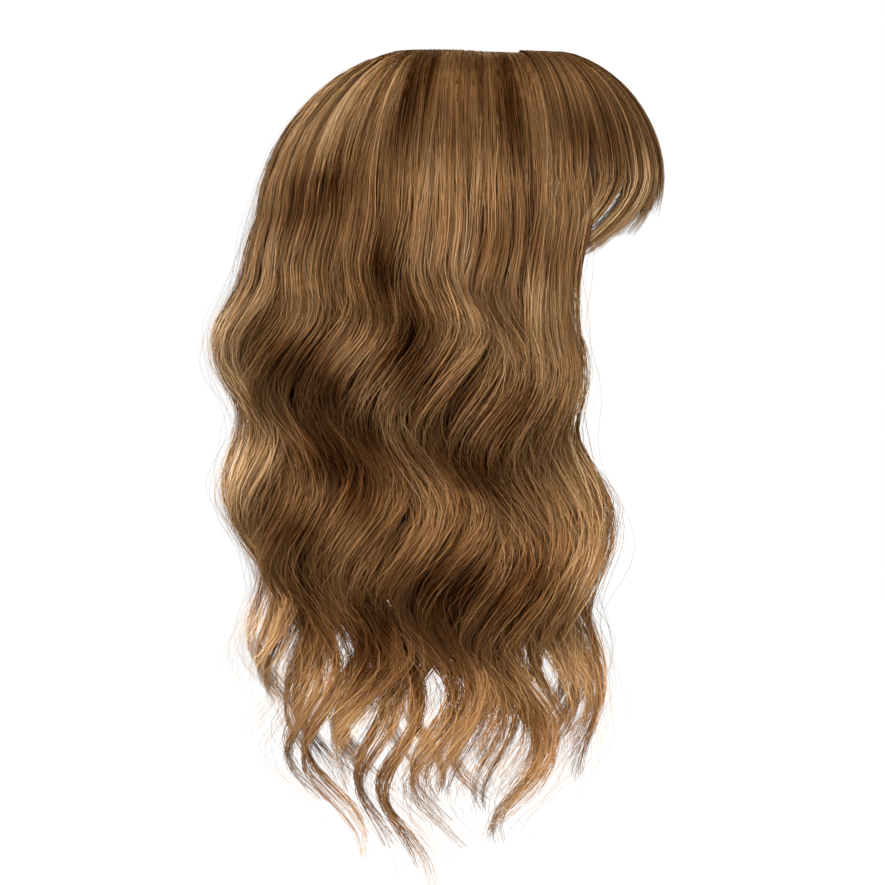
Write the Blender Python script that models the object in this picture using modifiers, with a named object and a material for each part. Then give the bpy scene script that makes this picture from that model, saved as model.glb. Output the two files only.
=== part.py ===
"""Hair topper with bangs: a domed net base, snap combs under it, long waved hair on each side
of the part, and bangs at the front.

Metres, +Z up. The origin is the crown of the base's underside, where the topper sits on a head.
The bangs face +X and the wearer's left is +Y.
"""
import math
from bisect import bisect_right
from collections import namedtuple

import bmesh
import bpy
import numpy as np
from mathutils import Matrix, Vector

# The head that the topper is shaped for, as the upper half of an ellipsoid
HEAD_HALF_LENGTH = 0.088
HEAD_HALF_WIDTH = 0.064
HEAD_RISE = 0.074

# The base
BASE_LENGTH = 0.096
BASE_WIDTH = 0.076
BASE_WALL = 0.0012
SEAT_GAP = 0.0003
CLIP_GAP = 0.0006

# The part line, where the hair leaves the base
PART_BACK = 0.020
PART_FRONT = 0.030
PART_HALF_WIDTH = 0.0022
SIDES_GAP = 0.0006

# The long hair
HAIR_TOP = 0.0082
HAIR_DROP = 0.388
HAIR_DEPTH = 0.016
BACK_REACH = 0.117
FRONT_REACH = 0.111
SIDE_REACH = 0.080
HAIR_FRONT_ANGLE = 55.0
BACKING_WALL = 0.0065
BACKING_DROP = 0.292
BACKING_RAGGED = 0.020
LOCK_WIDTH = 0.026
LOCK_DEPTH = 0.0105
WAVE_LENGTH = 0.086
WAVE_SIDEWAYS = 0.0095
WAVE_OUTWARD = 0.0040
WAVE_START = 0.085
WAVE_FULL = 0.130

# The bangs
BANGS_REACH = 0.092
BANGS_SIDE_REACH = 0.074
BANGS_LEVEL = 0.055
BANGS_DROP = 0.096
BANGS_HALF_ANGLE = 52.0
BANGS_LOCK_WIDTH = 0.021
BANGS_LOCK_DEPTH = 0.0065
BANGS_SWEEP = 0.013

# The clips
CLIP_LENGTH = 0.030
CLIP_BAR = 0.0062
CLIP_WALL = 0.0012
CLIP_SLOT_LENGTH = 0.0180
CLIP_SLOT_WIDTH = 0.0020
CLIP_TEETH = 6
CLIP_TOOTH_WIDTH = 0.0014
CLIP_TOOTH_LENGTH = 0.0065
CLIP_EDGE = 0.0075

# How finely the shapes are divided
LOCK_CORNERS = (0, 55, 125, 180, 270)
CROWN_STEPS = 4
CROWN_RUNS = [0.0, 0.08, 0.16, 0.24, 0.33, 0.43, 0.56, 0.76]
STEPS_IN_A_WAVE = 6
BACKING_COLUMNS = 12
BACKING_TEETH = 5.0
KEPT_FACES = 0.54
BASE_SIDES = 28
BASE_RINGS = 4

# The hanging hair's outline at each level: drop as a share of HAIR_DROP, and the reaches to the
# back, front and side as shares of BACK_REACH, FRONT_REACH and SIDE_REACH
Section = namedtuple("Section", "drop back front side")
CURTAIN = [
    Section(0.186, 0.87, 0.92, 0.95),
    Section(0.258, 0.94, 0.81, 0.98),
    Section(0.353, 1.00, 0.81, 1.00),
    Section(0.448, 0.99, 0.85, 1.00),
    Section(0.528, 0.97, 0.90, 0.99),
    Section(0.606, 0.91, 1.00, 0.97),
    Section(0.696, 0.85, 0.96, 0.92),
    Section(0.773, 0.79, 0.92, 0.88),
    Section(0.894, 0.69, 0.86, 0.80),
    Section(1.000, 0.58, 0.76, 0.73),
]

# The locks of each side: angle from the front in degrees where the lock passes the crown's edge,
# how far its tip has moved round from there, width as a share of LOCK_WIDTH, drop as a share of
# HAIR_DROP, how deep it lies as a share of HAIR_DEPTH, and where its wave starts, in turns
Lock = namedtuple("Lock", "angle drift width drop inset phase")
RIGHT_LOCKS = [
    Lock(62, -12, 0.85, 0.925, 0.38, 0.28),
    Lock(70, -6, 0.95, 0.830, 0.25, 0.14),
    Lock(79, -6, 1.00, 0.925, 0.40, 0.08),
    Lock(88, -5, 1.05, 0.955, 0.25, 0.14),
    Lock(97, 0, 1.05, 0.945, 0.38, 0.28),
    Lock(107, 2, 1.10, 1.000, 0.25, 0.66),
    Lock(118, 4, 1.05, 0.820, 0.40, 0.27),
    Lock(129, 2, 1.00, 0.860, 0.26, 0.33),
    Lock(139, 4, 1.10, 0.940, 0.38, 0.42),
    Lock(150, 2, 1.00, 0.800, 0.25, 0.62),
    Lock(161, 2, 1.00, 0.770, 0.36, 0.56),
    Lock(171, 1, 1.00, 0.730, 0.26, 0.50),
]
LEFT_LOCKS = [
    Lock(62, -9, 0.85, 0.880, 0.38, 0.40),
    Lock(71, -6, 0.95, 0.930, 0.25, 0.22),
    Lock(80, -4, 1.00, 0.860, 0.40, 0.16),
    Lock(89, -2, 1.05, 0.970, 0.25, 0.60),
    Lock(99, 0, 1.05, 0.920, 0.38, 0.20),
    Lock(109, 2, 1.05, 0.960, 0.26, 0.30),
    Lock(120, 0, 1.10, 0.870, 0.40, 0.72),
    Lock(131, 4, 1.00, 0.930, 0.25, 0.35),
    Lock(142, 2, 1.05, 0.810, 0.40, 0.48),
    Lock(152, 2, 1.00, 0.850, 0.25, 0.85),
    Lock(162, 2, 1.00, 0.750, 0.38, 0.62),
    Lock(171, 1, 0.95, 0.790, 0.26, 0.55),
]

# The locks of the bangs: angle from the front, width as a share of BANGS_LOCK_WIDTH, drop as a
# share of BANGS_DROP, how far the tip is swept back as a share of BANGS_SWEEP, and inset as a
# share of BANGS_LOCK_DEPTH
BangsLock = namedtuple("BangsLock", "angle width drop sweep inset")
BANGS_LOCKS = [
    BangsLock(-45, 0.75, 1.00, 1.00, 0.55),
    BangsLock(-32, 1.05, 0.93, 0.85, 0.70),
    BangsLock(-16, 0.95, 0.84, 0.70, 0.50),
    BangsLock(0, 0.95, 0.78, 0.60, 0.75),
    BangsLock(15, 1.00, 0.83, 0.70, 0.50),
    BangsLock(31, 1.05, 0.92, 0.85, 0.72),
    BangsLock(45, 0.75, 0.98, 1.00, 0.55),
]

# Where the clips lie: direction from the crown, in degrees from the front
CLIPS = {"clip_front": 0.0, "clip_left": 90.0, "clip_back": 180.0, "clip_right": 270.0}

HAIR_BROWN = (0.156, 0.080, 0.031, 1.0)
NET_BROWN = (0.050, 0.028, 0.014, 1.0)
CLIP_DARK = (0.030, 0.025, 0.022, 1.0)


def clear_scene():
    for thing in list(bpy.data.objects):
        bpy.data.objects.remove(thing, do_unlink=True)


def new_collection(name):
    collection = bpy.data.collections.new(name)
    bpy.context.scene.collection.children.link(collection)
    return collection


def material(name, colour, roughness, metallic=0.0):
    made = bpy.data.materials.new(name)
    made.use_nodes = True
    shader = made.node_tree.nodes["Principled BSDF"]
    shader.inputs["Base Color"].default_value = colour
    shader.inputs["Roughness"].default_value = roughness
    shader.inputs["Metallic"].default_value = metallic
    return made


def object_from(mesh, name, collection):
    made = bpy.data.objects.new(name, mesh)
    collection.objects.link(made)
    return made


def as_guide(thing):
    """Marks an object that only cuts or joins others."""
    thing.hide_render = True
    thing.display_type = "WIRE"


def evaluated_mesh(thing):
    bpy.context.view_layer.update()
    return bpy.data.meshes.new_from_object(thing.evaluated_get(bpy.context.evaluated_depsgraph_get()))


def between(low, high, share):
    return low + (high - low) * share


def ramp(value, start, full):
    """0 before start, 1 past full, and a smooth step between."""
    share = min(max((value - start) / (full - start), 0.0), 1.0)
    return share * share * (3 - 2 * share)


def along(rows, column, at):
    """A smooth curve through one column of a table, read where the first column is at."""
    places = [row[0] for row in rows]
    values = [getattr(row, column) for row in rows]
    at = min(max(at, places[0]), places[-1])
    slopes = np.gradient(values, places)
    i = min(max(bisect_right(places, at) - 1, 0), len(rows) - 2)
    span = places[i + 1] - places[i]
    t = (at - places[i]) / span
    start = values[i] * (2 * t**3 - 3 * t**2 + 1) + slopes[i] * span * (t**3 - 2 * t**2 + t)
    end = values[i + 1] * (3 * t**2 - 2 * t**3) + slopes[i + 1] * span * (t**3 - t**2)
    return start + end


def head_height(x, y):
    """Height of the head's surface, 0 at its crown and -HEAD_RISE at its widest."""
    spread = (x / HEAD_HALF_LENGTH) ** 2 + (y / HEAD_HALF_WIDTH) ** 2
    return -HEAD_RISE * (1 - math.sqrt(max(1 - spread, 0.0)))


def from_part(ring_x, ring_y, share):
    """Plan point on the straight way from the part line out to a ring point."""
    root_x = min(max(ring_x, -PART_BACK), PART_FRONT)
    out = Vector((ring_x - root_x, ring_y))
    start = Vector((root_x, 0)) + out.normalized() * PART_HALF_WIDTH
    return start.lerp(Vector((ring_x, ring_y)), share)


def crown_point(angle, run, depth, reach_x, reach_y, level, head_share):
    """Point on the crown, from run 0 at the part to 1 at its edge.

    depth is 0 on the outside of the hair and 1 where it lies on the base.
    """
    turn = run * math.pi / 2
    cos, sin = math.cos(angle), math.sin(angle)
    outside = from_part(reach_x * cos, reach_y * sin, math.sin(turn))
    outside_z = between(-level, HAIR_TOP, math.cos(turn))
    inside = from_part(HEAD_HALF_LENGTH * head_share * cos, HEAD_HALF_WIDTH * head_share * sin,
                       math.sin(turn))
    inside_z = head_height(*inside) + BASE_WALL + SEAT_GAP
    plan = outside.lerp(inside, depth)
    return Vector((plan.x, plan.y, between(outside_z, inside_z, depth)))


def long_point(angle, run, depth):
    """Point of the long hair: run 0 to 1 is the crown, and past 1 it hangs."""
    crown_level = HEAD_RISE - BASE_WALL - SEAT_GAP
    drop = crown_level + max(run - 1, 0) * HAIR_DROP
    share = drop / HAIR_DROP
    back = BACK_REACH * along(CURTAIN, "back", share)
    front = FRONT_REACH * along(CURTAIN, "front", share)
    side = SIDE_REACH * along(CURTAIN, "side", share)
    reach = back if math.cos(angle) < 0 else front
    if run <= 1:
        return crown_point(angle, run, depth, reach, side, crown_level, 1.0)
    inset = HAIR_DEPTH * depth
    return Vector(((reach - inset) * math.cos(angle), (side - inset) * math.sin(angle), -drop))


def bangs_point(angle, run, depth, sweep=0.0):
    """Point of the bangs: run 0 to 1 is over the forehead, and past 1 they hang and sweep back."""
    head_share = math.sqrt(1 - (1 - BANGS_LEVEL / HEAD_RISE) ** 2)
    point = crown_point(angle, min(run, 1), depth, BANGS_REACH, BANGS_SIDE_REACH,
                        BANGS_LEVEL, head_share)
    fall = max(run - 1, 0) * BANGS_DROP
    share = fall / (BANGS_DROP - BANGS_LEVEL)
    point.x -= BANGS_SWEEP * sweep * share ** 1.7
    point.z -= fall
    return point


def frame_at(surface, angle, run, depth):
    """A point of a surface, the direction round the head and the direction out of it."""
    step = 0.002
    here = surface(angle, run, depth)
    round_way = surface(angle + step, run, depth) - surface(angle - step, run, depth)
    down_way = surface(angle, run + step, depth) - surface(angle, max(run - step, 0), depth)
    out = round_way.cross(down_way).normalized()
    return here, round_way.normalized(), -out, round_way.length / (2 * step)


def room_below(surface, angle, run, depth):
    """How thick a lock may be below a point before it meets the base."""
    return (surface(angle, run, depth) - surface(angle, run, 1.0)).length * 0.9


def lens_ring(centre, sideways, out, half_width, half_depth):
    """A lock's section: three faces outside and two that meet inside."""
    corners = []
    for turn in LOCK_CORNERS:
        turn = math.radians(turn)
        corners.append(centre + sideways * (half_width * math.cos(turn))
                       + out * (half_depth * math.sin(turn)))
    return corners


def tube_through(rings, tip, name):
    """A closed tube through rings of points, flat at its start and pointed at its tip."""
    shape = bmesh.new()
    rows = [[shape.verts.new(corner) for corner in ring] for ring in rings]
    point = shape.verts.new(tip)
    shape.faces.new(rows[0])
    count = len(rows[0])
    for near, far in zip(rows, rows[1:]):
        for i in range(count):
            j = (i + 1) % count
            shape.faces.new((near[i], near[j], far[j], far[i]))
    for i in range(count):
        shape.faces.new((rows[-1][i], rows[-1][(i + 1) % count], point))
    bmesh.ops.triangulate(shape, faces=shape.faces[:])
    bmesh.ops.recalc_face_normals(shape, faces=shape.faces[:])
    mesh = bpy.data.meshes.new(name)
    shape.to_mesh(mesh)
    shape.free()
    return mesh


def taper(share):
    """Width along a lock: it opens from the root and narrows over its last third."""
    opening = between(0.5, 1.0, ramp(share, 0.0, 0.15))
    closing = 1 - ramp(share, 0.66, 1.06) * 0.88
    return opening * closing


def wave_at(drop, phase):
    """How far a lock is moved sideways and outwards by its wave at a drop."""
    strength = ramp(drop, WAVE_START, WAVE_FULL)
    turn = 2 * math.pi * (drop / WAVE_LENGTH + phase)
    return WAVE_SIDEWAYS * strength * math.sin(turn), WAVE_OUTWARD * strength * math.cos(turn)


def long_lock(lock, side, name):
    """One waved lock, from the crown to its tip."""
    crown_level = HEAD_RISE - BASE_WALL - SEAT_GAP
    hanging = lock.drop - crown_level / HAIR_DROP
    steps = round(hanging * HAIR_DROP / WAVE_LENGTH * STEPS_IN_A_WAVE)
    runs = [between(0.06, 1.0, i / CROWN_STEPS) for i in range(CROWN_STEPS)]
    runs += [1 + hanging * i / steps for i in range(steps + 1)]
    at_edge = frame_at(long_point, math.radians(lock.angle), 1.0, lock.inset)[3]
    spans = [frame_at(long_point, math.radians(lock.angle), run, lock.inset)[3] for run in runs]
    rings = []
    for run, span in zip(runs, spans):
        share = (run - runs[0]) / (runs[-1] - runs[0])
        angle = math.radians(lock.angle + lock.drift * max(run - 1, 0) / hanging)
        here, sideways, out, _ = frame_at(long_point, angle, run, lock.inset)
        shift, lift = wave_at(-here.z, lock.phase)
        centre = here + sideways * shift + out * lift
        fan = min(span / at_edge, 1.0)
        half_width = LOCK_WIDTH * lock.width / 2 * taper(share) * fan
        half_depth = LOCK_DEPTH / 2 * taper(share) * between(0.45, 1.0, min(run, 1))
        if run < 1:
            half_depth = min(half_depth, room_below(long_point, angle, run, lock.inset))
        rings.append(lens_ring(centre, sideways, out, half_width, half_depth))
    ends = [[side_of(corner, side) for corner in ring] for ring in rings]
    tip = sum(ends.pop(), Vector((0, 0, 0))) / len(LOCK_CORNERS)
    return tube_through(ends, tip, name)


def bangs_lock(lock, name):
    """One lock of the bangs, over the forehead and down to its tip."""
    fall = lock.drop - BANGS_LEVEL / BANGS_DROP
    runs = [0.08, 0.25, 0.45, 0.7, 0.88] + [1 + fall * i / 4 for i in range(5)]

    def swept(angle, run, depth):
        return bangs_point(angle, run, depth, lock.sweep)

    angle = math.radians(lock.angle)
    at_edge = frame_at(swept, angle, 1.0, lock.inset)[3]
    rings = []
    for run in runs:
        share = (run - runs[0]) / (runs[-1] - runs[0])
        here, sideways, out, span = frame_at(swept, angle, run, lock.inset)
        half_width = BANGS_LOCK_WIDTH * lock.width / 2 * taper(share) * span / at_edge
        half_depth = min(BANGS_LOCK_DEPTH / 2 * taper(share), room_below(swept, angle, run, lock.inset))
        rings.append(lens_ring(here, sideways, out, half_width, half_depth))
    tip = sum(rings.pop(), Vector((0, 0, 0))) / len(LOCK_CORNERS)
    return tube_through(rings, tip, name)


def side_of(point, side):
    return Vector((point.x, point.y * side, point.z))


def sheet(surface, angles, runs, name):
    """An open surface over a grid of angles and runs."""
    shape = bmesh.new()
    rows = [[shape.verts.new(surface(angle, run, 1.0)) for angle in angles] for run in runs]
    for upper, lower in zip(rows, rows[1:]):
        for i in range(len(angles) - 1):
            shape.faces.new((upper[i], lower[i], lower[i + 1], upper[i + 1]))
    mesh = bpy.data.meshes.new(name)
    shape.to_mesh(mesh)
    shape.free()
    return mesh


def thickened(mesh, wall, name, collection):
    """A closed shell on the outer side of an open surface."""
    thing = object_from(mesh, name, collection)
    shell = thing.modifiers.new("wall", "SOLIDIFY")
    shell.thickness = wall
    shell.offset = 1.0
    shell.use_even_offset = True
    solid = evaluated_mesh(thing)
    bpy.data.objects.remove(thing, do_unlink=True)
    shape = bmesh.new()
    shape.from_mesh(solid)
    bmesh.ops.triangulate(shape, faces=shape.faces[:])
    bmesh.ops.recalc_face_normals(shape, faces=shape.faces[:])
    shape.to_mesh(solid)
    shape.free()
    return solid


def shells_of(shape):
    """The separate closed shells of a mesh, as lists of faces."""
    left = set(shape.faces)
    shells = []
    while left:
        found = {left.pop()}
        edge = list(found)
        while edge:
            face = edge.pop()
            for near in {other for side in face.edges for other in side.link_faces}:
                if near in left:
                    left.remove(near)
                    found.add(near)
                    edge.append(near)
        shells.append(list(found))
    return shells


def shell_volume(faces):
    total = 0.0
    for face in faces:
        a, b, c = (corner.co for corner in face.verts)
        total += a.dot(b.cross(c)) / 6
    return total


def largest_shell(mesh):
    """The mesh without the small closed shells that a join leaves inside it."""
    shape = bmesh.new()
    shape.from_mesh(mesh)
    bmesh.ops.triangulate(shape, faces=shape.faces[:])
    shells = sorted(shells_of(shape), key=shell_volume)
    for loose in shells[:-1]:
        bmesh.ops.delete(shape, geom=loose, context="FACES")
    shape.to_mesh(mesh)
    shape.free()
    return mesh


def fused(name, backing, locks, other_side, base_room, collection, helpers):
    """Backing and locks joined into one solid, cut free of the other side and of the base."""
    body = object_from(backing, name, collection)
    operands = bpy.data.collections.new(name + "_locks")
    helpers.children.link(operands)
    for lock in locks:
        thing = object_from(lock, lock.name, operands)
        as_guide(thing)
    join = body.modifiers.new("locks", "BOOLEAN")
    join.operation = "UNION"
    join.operand_type = "COLLECTION"
    join.collection = operands
    join.use_self = True
    body.data = largest_shell(evaluated_mesh(body))
    body.modifiers.clear()
    thin = body.modifiers.new("fewer_faces", "DECIMATE")
    thin.ratio = KEPT_FACES
    thin.use_collapse_triangulate = True
    for cutter in filter(None, (other_side, base_room)):
        trim = body.modifiers.new(cutter.name, "BOOLEAN")
        trim.operation = "DIFFERENCE"
        trim.object = cutter
    body.data = largest_shell(evaluated_mesh(body))
    body.modifiers.clear()
    return body


def beyond_box(side, cutters):
    """A box over the other side of the part, which keeps each side's hair to itself."""
    size = 2 * HAIR_DROP
    bpy.ops.mesh.primitive_cube_add(size=size, location=(0, side * (SIDES_GAP - size) / 2, 0))
    box = bpy.context.object
    box.name = "other_side_of_" + ("left" if side > 0 else "right")
    for home in list(box.users_collection):
        home.objects.unlink(box)
    cutters.objects.link(box)
    as_guide(box)
    return box


def make_hair(name, locks, side, base_room, collection, cutters):
    """One side of the long hair."""
    crown_level = HEAD_RISE - BASE_WALL - SEAT_GAP
    last_run = 1 + (BACKING_DROP - crown_level) / HAIR_DROP
    rows = round((last_run - 1) * HAIR_DROP / WAVE_LENGTH * 2)
    runs = CROWN_RUNS + [between(1, last_run, i / rows) for i in range(rows + 1)]
    angles = [math.radians(between(HAIR_FRONT_ANGLE, 180, i / BACKING_COLUMNS))
              for i in range(BACKING_COLUMNS + 1)]

    def one_side(angle, run, depth):
        raised = BACKING_RAGGED * abs(math.sin(angle * BACKING_TEETH)) / HAIR_DROP
        share = max(run - 1, 0) / (last_run - 1)
        return side_of(long_point(angle, run - raised * share ** 3, depth), side)

    if side < 0:
        angles.reverse()
    backing = thickened(sheet(one_side, angles, runs, name), BACKING_WALL, name, cutters)
    tubes = [long_lock(lock, side, f"{name}_lock_{i}") for i, lock in enumerate(locks)]
    return fused(name, backing, tubes, beyond_box(side, cutters), base_room, collection, cutters)


def make_bangs(base_room, collection, cutters):
    """The bangs: a thin backing over the forehead, with its locks."""
    runs = CROWN_RUNS + [0.95]
    angles = [math.radians(between(-BANGS_HALF_ANGLE, BANGS_HALF_ANGLE, i / BACKING_COLUMNS))
              for i in range(BACKING_COLUMNS + 1)]
    backing = thickened(sheet(bangs_point, angles, runs, "bangs"), BACKING_WALL, "bangs", cutters)
    tubes = [bangs_lock(lock, f"bangs_lock_{i}") for i, lock in enumerate(BANGS_LOCKS)]
    return fused("bangs", backing, tubes, None, base_room, collection, cutters)


def base_surface(grown, name):
    """The open domed oval that the base is made of, its outline grown by a gap."""
    shape = bmesh.new()
    bmesh.ops.create_circle(shape, cap_ends=True, cap_tris=True, segments=BASE_SIDES, radius=1.0)
    bmesh.ops.subdivide_edges(shape, edges=[edge for edge in shape.edges if not edge.is_boundary],
                              cuts=BASE_RINGS - 1, use_grid_fill=True)
    for vert in shape.verts:
        x = vert.co.x * (BASE_LENGTH / 2 + grown)
        y = vert.co.y * (BASE_WIDTH / 2 + grown)
        vert.co = Vector((x, y, head_height(x, y)))
    bmesh.ops.recalc_face_normals(shape, faces=shape.faces[:])
    if sum(face.normal.z for face in shape.faces) < 0:
        bmesh.ops.reverse_faces(shape, faces=shape.faces[:])
    mesh = bpy.data.meshes.new(name)
    shape.to_mesh(mesh)
    shape.free()
    return mesh


def make_base(collection):
    """The domed net base, an even wall whose underside follows the head."""
    mesh = base_surface(0.0, "base_cap")
    mesh.shade_smooth()
    base = object_from(mesh, "base_cap", collection)
    wall = base.modifiers.new("wall", "SOLIDIFY")
    wall.thickness = BASE_WALL
    wall.offset = 1.0
    return base


def make_base_room(cutters):
    """The base with its gap all round, which the hair is cut by."""
    room = object_from(base_surface(SEAT_GAP, "base_room"), "base_room", cutters)
    wall = room.modifiers.new("wall", "SOLIDIFY")
    wall.thickness = 2 * (BASE_WALL + SEAT_GAP)
    wall.offset = 0.0
    as_guide(room)
    return room


def clip_outline():
    """The clip's outer edge: a bar with round ends and a comb along one side."""
    points = []
    end = CLIP_LENGTH / 2 - CLIP_BAR / 2
    for middle, first in ((end, -90), (-end, 90)):
        for i in range(5):
            turn = math.radians(first + 45 * i)
            points.append((middle + CLIP_BAR / 2 * math.cos(turn), CLIP_BAR / 2 * math.sin(turn)))
        if middle > 0:
            continue
        for tooth in range(CLIP_TEETH):
            at = between(-end, end, (tooth + 0.5) / CLIP_TEETH)
            half = CLIP_TOOTH_WIDTH / 2
            root = -CLIP_BAR / 2
            points += [(at - half, root), (at - half / 2, root - CLIP_TOOTH_LENGTH),
                       (at + half / 2, root - CLIP_TOOTH_LENGTH), (at + half, root)]
    return points


def slot_outline():
    """The long slot in the clip's bar."""
    x, y = CLIP_SLOT_LENGTH / 2, CLIP_SLOT_WIDTH / 2
    return [(-x, 0), (-x + y, -y), (x - y, -y), (x, 0), (x - y, y), (-x + y, y)]


def clip_mesh():
    """The flat clip, from a filled curve."""
    curve = bpy.data.curves.new("clip", "CURVE")
    curve.dimensions = "2D"
    curve.fill_mode = "BOTH"
    curve.extrude = CLIP_WALL / 2
    for outline in (clip_outline(), slot_outline()):
        spline = curve.splines.new("POLY")
        spline.points.add(len(outline) - 1)
        for point, (x, y) in zip(spline.points, outline):
            point.co = (x, y, 0, 1)
        spline.use_cyclic_u = True
    thing = object_from(curve, "clip_curve", bpy.context.scene.collection)
    mesh = evaluated_mesh(thing)
    bpy.data.objects.remove(thing, do_unlink=True)
    shape = bmesh.new()
    shape.from_mesh(mesh)
    bmesh.ops.remove_doubles(shape, verts=shape.verts[:], dist=0.00001)
    bmesh.ops.recalc_face_normals(shape, faces=shape.faces[:])
    shape.to_mesh(mesh)
    shape.free()
    return mesh


def clip_place(direction):
    """Where a clip lies: flat under the base near its edge, its teeth towards the crown."""
    turn = math.radians(direction)
    x = (BASE_LENGTH / 2 - CLIP_EDGE) * math.cos(turn)
    y = (BASE_WIDTH / 2 - CLIP_EDGE) * math.sin(turn)
    seat = Vector((x, y, head_height(x, y)))
    step = 0.0005
    slope_x = (head_height(x + step, y) - head_height(x - step, y)) / (2 * step)
    slope_y = (head_height(x, y + step) - head_height(x, y - step)) / (2 * step)
    up = Vector((-slope_x, -slope_y, 1)).normalized()
    outward = Vector((math.cos(turn), math.sin(turn), 0))
    outward = (outward - up * outward.dot(up)).normalized()
    length_way = outward.cross(up)
    sink = 0.0
    for along_bar, across in clip_outline():
        corner = seat + length_way * along_bar + outward * across
        sink = min(sink, (head_height(corner.x, corner.y) - corner.z) * up.z)
    centre = seat + up * (sink - CLIP_GAP - CLIP_WALL / 2)
    turned = Matrix((length_way, outward, up)).transposed().to_4x4()
    return Matrix.Translation(centre) @ turned


def make_clips(collection):
    mesh = clip_mesh()
    clips = []
    for name, direction in CLIPS.items():
        clip = object_from(mesh, name, collection)
        clip.matrix_world = clip_place(direction)
        clips.append(clip)
    return clips


def main():
    clear_scene()
    topper = new_collection("hair_topper")
    cutters = new_collection("cutters")
    hair = material("brown_hair", HAIR_BROWN, 0.45)
    net = material("base_net", NET_BROWN, 0.85)
    steel = material("clip_coating", CLIP_DARK, 0.4, 0.6)
    base_room = make_base_room(cutters)
    strands = [
        make_hair("hair_right", RIGHT_LOCKS, -1, base_room, topper, cutters),
        make_hair("hair_left", LEFT_LOCKS, 1, base_room, topper, cutters),
        make_bangs(base_room, topper, cutters),
    ]
    for thing in strands:
        thing.data.materials.clear()
        thing.data.materials.append(hair)
        thing.data.shade_smooth()
        thing.data.set_sharp_from_angle(angle=math.radians(50))
    make_base(topper).data.materials.append(net)
    clips = make_clips(topper)
    clips[0].data.materials.append(steel)


main()
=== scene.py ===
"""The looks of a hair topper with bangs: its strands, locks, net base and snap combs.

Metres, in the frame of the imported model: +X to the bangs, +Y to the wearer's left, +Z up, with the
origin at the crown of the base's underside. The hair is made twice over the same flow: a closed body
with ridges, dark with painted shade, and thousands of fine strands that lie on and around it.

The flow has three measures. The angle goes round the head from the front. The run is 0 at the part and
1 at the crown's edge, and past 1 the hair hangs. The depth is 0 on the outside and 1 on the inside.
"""
import math
from collections import namedtuple

import bpy
import numpy as np
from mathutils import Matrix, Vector


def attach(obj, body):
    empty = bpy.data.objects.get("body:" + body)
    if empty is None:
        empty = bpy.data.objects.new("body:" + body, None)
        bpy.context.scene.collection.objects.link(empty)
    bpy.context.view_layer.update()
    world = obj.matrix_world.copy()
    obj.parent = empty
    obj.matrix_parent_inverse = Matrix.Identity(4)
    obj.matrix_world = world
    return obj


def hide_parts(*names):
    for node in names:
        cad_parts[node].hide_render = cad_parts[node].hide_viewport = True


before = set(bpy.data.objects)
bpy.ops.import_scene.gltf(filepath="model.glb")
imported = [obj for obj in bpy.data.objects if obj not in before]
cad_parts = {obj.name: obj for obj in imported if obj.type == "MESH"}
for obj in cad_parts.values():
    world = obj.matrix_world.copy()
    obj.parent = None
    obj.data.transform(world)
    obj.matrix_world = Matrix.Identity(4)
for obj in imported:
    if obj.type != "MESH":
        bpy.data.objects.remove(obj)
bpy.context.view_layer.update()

TURN = 2 * math.pi

# The photograph's scale, the place of the origin in its 885 px frame, and the camera
FRAME_SIDE = 885
METRES_PER_PIXEL = 0.00048
ORIGIN_PX = (472.0, 66.0)
LENS_MM = 150.0
SENSOR_MM = 36.0
CAMERA_TILT = 2.0

# The head that the hair lies round
HEAD_HALF_LENGTH = 0.088
HEAD_HALF_WIDTH = 0.064
HEAD_RISE = 0.074
BASE_TOP = 0.0015

# The part line, and how deep and before which angles the roots dip into it
PART_BACK = 0.020
PART_FRONT = 0.030
PART_HALF_WIDTH = 0.0016
ROOT_SPREAD = 0.55
PART_DIP = 0.20
PART_DIP_ANGLES = (105, 80)
PART_DIP_RUN = (0.05, 0.35)

# The hair's main sizes, and its front edge in degrees from the front
HAIR_TOP = 0.0082
HAIR_DROP = 0.388
HAIR_DEPTH = 0.016
CROWN_LEVEL = 0.0725
BACK_REACH = 0.117
FRONT_REACH = 0.111
SIDE_REACH = 0.080
HAIR_FRONT_ANGLE = 55.0

# The waves: how far they go sideways and outward, and the drops at which they set in. They set in
# later in front, and ease off sideways within a width in radians of the seam behind.
WAVE_MIDDLE = 0.190
WAVE_SIDEWAYS = 0.0095
WAVE_OUTWARD = 0.0055
WAVE_START = 0.080
WAVE_FULL = 0.135
FRONT_WAVE_LATER = 0.045
FRONT_WAVE_ANGLES = (84, 62)
SEAM_WIDTH = 0.28

# The bangs: sizes, how far their sides turn back at the tips, and slits with an angle and half width
BANGS_REACH = 0.092
BANGS_SIDE_REACH = 0.078
BANGS_LEVEL = 0.055
BANGS_DROP = 0.096
BANGS_TURN = 30.0
BANGS_TURN_IN = (0.0, 0.35)
BANGS_TURN_OUT = (0.5, 1.3)
BANGS_TURN_LOST = 0.8
BANGS_DRAW_IN = 0.10
BANGS_DIP = 0.12
BANGS_SLITS = ((-38.0, 1.5), (35.5, 4.0))
BANGS_COUNT = 2200
BANGS_CLUMPS = 46
BANGS_HALF_ANGLE = 66
BANGS_MIDDLE_DROP = 0.067
BANGS_SIDE_DROP = 0.029

# The strands: points along each, widths, and how far the normals tilt to look round
CROWN_POINTS = 9
HANG_POINTS = 35
MIDDLE_POINTS = 28
BANGS_POINTS = 20
STRAND_WIDTH = 0.00036
NORMAL_TILT = 0.60
STRAND_ROLL = 0.7
MAP_STRIPE = 0.96

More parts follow.
